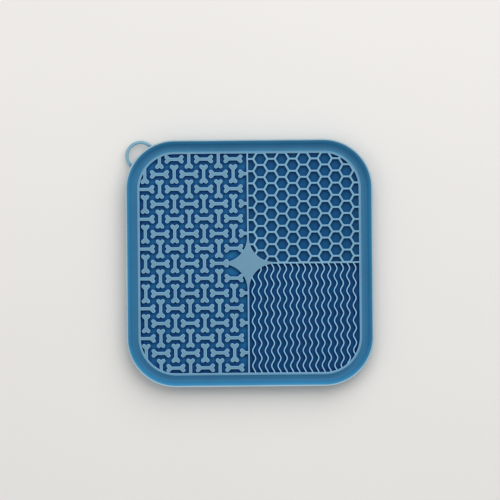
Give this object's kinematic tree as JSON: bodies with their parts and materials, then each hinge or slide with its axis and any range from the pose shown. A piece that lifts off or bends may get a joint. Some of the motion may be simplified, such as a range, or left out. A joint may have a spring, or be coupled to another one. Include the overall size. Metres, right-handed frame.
{
  "type": "lick mat",
  "caption": "Square soft silicone lick mat with a raised rim and gutter, raised bones, hexagon comb and wave ribs round a centre star, a corner hanging loop and suction cups.",
  "frame": {"origin": "middle of the mat's square on the plane that the suction cups' lips rest on", "axes": "+Z out of the licking face, +Y towards the edge with the hanging loop's corner on its left, +X towards the comb and wave ribs"},
  "size_m": [0.2, 0.2, 0.015],
  "materials": {
    "silicone": "matte"
  },
  "bodies": {
    "mat": {"base_sheet": "silicone", "outer_rim": "silicone", "gutter": "silicone", "inner_border": "silicone", "centre_star": "silicone", "divider_top": "silicone", "divider_bottom": "silicone", "divider_right": "silicone", "bones_across": "silicone", "bones_upright": "silicone", "hex_comb": "silicone", "wave_rib_01": "silicone", "wave_rib_02": "silicone", "wave_rib_03": "silicone", "wave_rib_04": "silicone", "wave_rib_05": "silicone", "wave_rib_06": "silicone", "wave_rib_07": "silicone", "wave_rib_08": "silicone", "wave_rib_09": "silicone", "wave_rib_10": "silicone", "wave_rib_11": "silicone", "wave_rib_12": "silicone", "wave_rib_13": "silicone", "wave_rib_14": "silicone", "wave_rib_15": "silicone", "wave_rib_16": "silicone", "wave_rib_17": "silicone"},
    "hang_loop": {"hang_loop": "silicone"},
    "suction_cup_11": {"suction_cup_11": "silicone"},
    "suction_cup_12": {"suction_cup_12": "silicone"},
    "suction_cup_13": {"suction_cup_13": "silicone"},
    "suction_cup_14": {"suction_cup_14": "silicone"},
    "suction_cup_21": {"suction_cup_21": "silicone"},
    "suction_cup_22": {"suction_cup_22": "silicone"},
    "suction_cup_23": {"suction_cup_23": "silicone"},
    "suction_cup_24": {"suction_cup_24": "silicone"},
    "suction_cup_31": {"suction_cup_31": "silicone"},
    "suction_cup_32": {"suction_cup_32": "silicone"},
    "suction_cup_33": {"suction_cup_33": "silicone"},
    "suction_cup_34": {"suction_cup_34": "silicone"},
    "suction_cup_41": {"suction_cup_41": "silicone"},
    "suction_cup_42": {"suction_cup_42": "silicone"},
    "suction_cup_43": {"suction_cup_43": "silicone"},
    "suction_cup_44": {"suction_cup_44": "silicone"}
  },
  "joints": [
    {"name": "loop_bend", "type": "hinge", "parent": "mat", "child": "hang_loop", "pos_m": [-0.08842, 0.08842, 0.0052], "axis": [0.7071, 0.7071, 0], "range_deg": [-20, 75], "stiffness_Nm_per_rad": 0.002},
    {"name": "cup_11_press", "type": "slide", "parent": "mat", "child": "suction_cup_11", "axis": [0, 0, 1], "range_m": [0, 0.0015], "deforming": ["suction_cup_11"]},
    {"name": "cup_12_press", "type": "slide", "parent": "mat", "child": "suction_cup_12", "axis": [0, 0, 1], "range_m": [0, 0.0015], "deforming": ["suction_cup_12"]},
    {"name": "cup_13_press", "type": "slide", "parent": "mat", "child": "suction_cup_13", "axis": [0, 0, 1], "range_m": [0, 0.0015], "deforming": ["suction_cup_13"]},
    {"name": "cup_14_press", "type": "slide", "parent": "mat", "child": "suction_cup_14", "axis": [0, 0, 1], "range_m": [0, 0.0015], "deforming": ["suction_cup_14"]},
    {"name": "cup_21_press", "type": "slide", "parent": "mat", "child": "suction_cup_21", "axis": [0, 0, 1], "range_m": [0, 0.0015], "deforming": ["suction_cup_21"]},
    {"name": "cup_22_press", "type": "slide", "parent": "mat", "child": "suction_cup_22", "axis": [0, 0, 1], "range_m": [0, 0.0015], "deforming": ["suction_cup_22"]},
    {"name": "cup_23_press", "type": "slide", "parent": "mat", "child": "suction_cup_23", "axis": [0, 0, 1], "range_m": [0, 0.0015], "deforming": ["suction_cup_23"]},
    {"name": "cup_24_press", "type": "slide", "parent": "mat", "child": "suction_cup_24", "axis": [0, 0, 1], "range_m": [0, 0.0015], "deforming": ["suction_cup_24"]},
    {"name": "cup_31_press", "type": "slide", "parent": "mat", "child": "suction_cup_31", "axis": [0, 0, 1], "range_m": [0, 0.0015], "deforming": ["suction_cup_31"]},
    {"name": "cup_32_press", "type": "slide", "parent": "mat", "child": "suction_cup_32", "axis": [0, 0, 1], "range_m": [0, 0.0015], "deforming": ["suction_cup_32"]},
    {"name": "cup_33_press", "type": "slide", "parent": "mat", "child": "suction_cup_33", "axis": [0, 0, 1], "range_m": [0, 0.0015], "deforming": ["suction_cup_33"]},
    {"name": "cup_34_press", "type": "slide", "parent": "mat", "child": "suction_cup_34", "axis": [0, 0, 1], "range_m": [0, 0.0015], "deforming": ["suction_cup_34"]},
    {"name": "cup_41_press", "type": "slide", "parent": "mat", "child": "suction_cup_41", "axis": [0, 0, 1], "range_m": [0, 0.0015], "deforming": ["suction_cup_41"]},
    {"name": "cup_42_press", "type": "slide", "parent": "mat", "child": "suction_cup_42", "axis": [0, 0, 1], "range_m": [0, 0.0015], "deforming": ["suction_cup_42"]},
    {"name": "cup_43_press", "type": "slide", "parent": "mat", "child": "suction_cup_43", "axis": [0, 0, 1], "range_m": [0, 0.0015], "deforming": ["suction_cup_43"]},
    {"name": "cup_44_press", "type": "slide", "parent": "mat", "child": "suction_cup_44", "axis": [0, 0, 1], "range_m": [0, 0.0015], "deforming": ["suction_cup_44"]}
  ]
}
